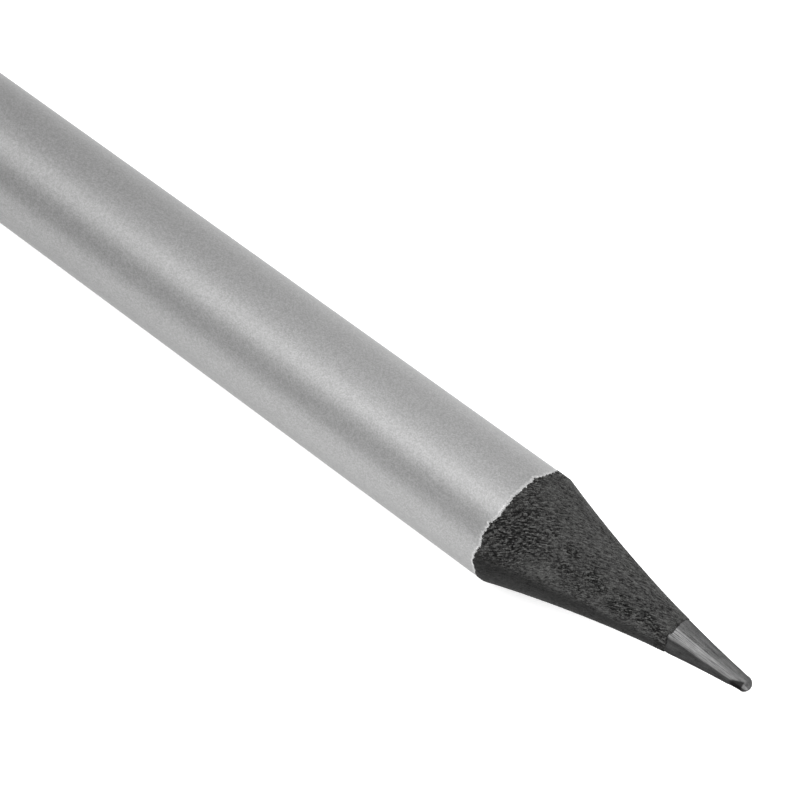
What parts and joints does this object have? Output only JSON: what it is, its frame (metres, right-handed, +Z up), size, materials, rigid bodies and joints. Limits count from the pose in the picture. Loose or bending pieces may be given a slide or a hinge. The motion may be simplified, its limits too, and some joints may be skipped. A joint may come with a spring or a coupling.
{
  "type": "pencil",
  "caption": "Round wooden pencil, ready sharpened: silver lacquered barrel, black-dyed wood cone ground slightly hollow, graphite lead with a blunt tip.",
  "frame": {"origin": "on the plane that the pencil lies on, under the middle of its length and its axis", "axes": "+X along the pencil's axis from the sawn rear end to the tip of the lead, +Z up from the plane it lies on; the axis is at z = 3.6 mm"},
  "size_m": [0.175, 0.0072, 0.0072],
  "materials": {
    "silver_lacquer": "silver pearl lacquer with a fine metallic grain and a soft gloss",
    "ground_coat": "pale matt ground coat",
    "black_wood": "black-dyed open-pored wood, ground across the grain and left bare",
    "glue": "dried wood glue, stained dark by the dyed wood",
    "graphite": "fired clay and graphite with a satin grey sheen and drawn streaks"
  },
  "bodies": {
    "root": {"graphite_lead": "graphite", "glue_film": "glue", "upper_slat": "black_wood", "lower_slat": "black_wood", "ground_coat": "ground_coat", "silver_coat": "silver_lacquer"}
  },
  "joints": []
}
